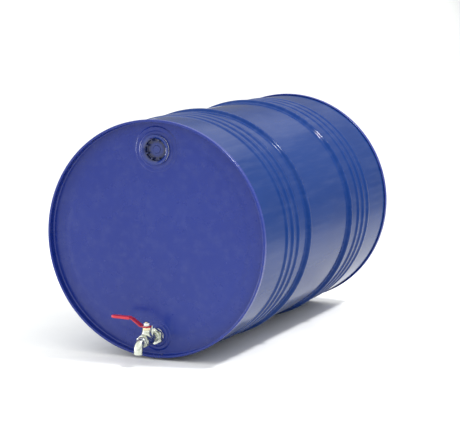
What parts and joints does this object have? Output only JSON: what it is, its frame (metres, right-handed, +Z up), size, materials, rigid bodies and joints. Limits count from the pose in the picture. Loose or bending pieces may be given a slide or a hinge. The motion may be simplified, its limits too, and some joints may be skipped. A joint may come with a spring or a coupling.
{
  "type": "steel oil drum with dispensing tap",
  "caption": "Closed-head steel drum lying on its side, with rolling hoops, beads, double-seamed chimes, a screw plug and a ball tap.",
  "frame": {"origin": "on the lowest line of the two rolling hoops, midway between the chimes", "axes": "+Y along the drum's axis from the tap's head to the rear head, +Z up, with the tap at the bottom of the front head, which faces -Y"},
  "size_m": [0.5899, 0.9765, 0.5898],
  "materials": {
    "drum_paint": "glossy blue enamel",
    "head_paint": "glossy blue enamel",
    "seam_compound": "cured sealing compound",
    "zinc_plate": "zinc plated steel",
    "plug_plate": "plug painted over with the drum",
    "black_rubber": "matte moulded rubber",
    "white_seal": "PTFE",
    "nickel_plate": "satin nickel plated brass",
    "brass": "machined brass",
    "chrome_ball": "polished chrome",
    "red_lever": "red coated steel",
    "red_grip": "dipped red vinyl",
    "bright_steel": "bright zinc plated steel"
  },
  "bodies": {
    "drum": {"body_shell": "drum_paint", "front_head": "head_paint", "rear_head": "head_paint", "front_seam_compound": "seam_compound", "rear_seam_compound": "seam_compound", "large_bung_flange": "zinc_plate", "large_flange_gasket": "black_rubber", "small_bung_flange": "zinc_plate", "small_flange_gasket": "black_rubber"},
    "plug_seal": {"plug_gasket": "black_rubber"},
    "plug": {"large_bung_plug": "plug_plate"},
    "tap_seal": {"tap_gasket": "white_seal"},
    "tap": {"tap_body": "nickel_plate", "tap_spout": "nickel_plate", "spout_seal": "white_seal", "inlet_ball_seat": "white_seal", "outlet_ball_seat": "white_seal", "thrust_washer": "white_seal", "stem_packing": "white_seal", "gland_nut": "brass"},
    "lever": {"tap_ball": "chrome_ball", "valve_stem": "brass", "tap_lever": "red_lever", "lever_grip": "red_grip", "lever_washer": "bright_steel", "lever_nut": "bright_steel"}
  },
  "joints": [
    {"name": "plug_travel", "type": "slide", "parent": "drum", "child": "plug_seal", "axis": [0, -1, 0], "range_m": [0, 0.01155]},
    {"name": "plug_turn", "type": "hinge", "parent": "plug_seal", "child": "plug", "pos_m": [0, -0.43, 0.512], "axis": [0, -1, 0], "range_deg": [0, 1800]},
    {"name": "tap_travel", "type": "slide", "parent": "drum", "child": "tap_seal", "axis": [0, -1, 0], "range_m": [0, 0.01451]},
    {"name": "tap_turn", "type": "hinge", "parent": "tap_seal", "child": "tap", "pos_m": [0, -0.43, 0.057], "axis": [0, -1, 0], "range_deg": [0, 2880]},
    {"name": "lever_turn", "type": "hinge", "parent": "tap", "child": "lever", "pos_m": [0, -0.481, 0.057], "axis": [0, 0, 1], "range_deg": [0, 90]}
  ],
  "couplings": [
    {"joint": "plug_travel", "follows": "plug_turn", "m_per_rad": 0.00036749},
    {"joint": "tap_travel", "follows": "tap_turn", "m_per_rad": 0.00028871}
  ]
}
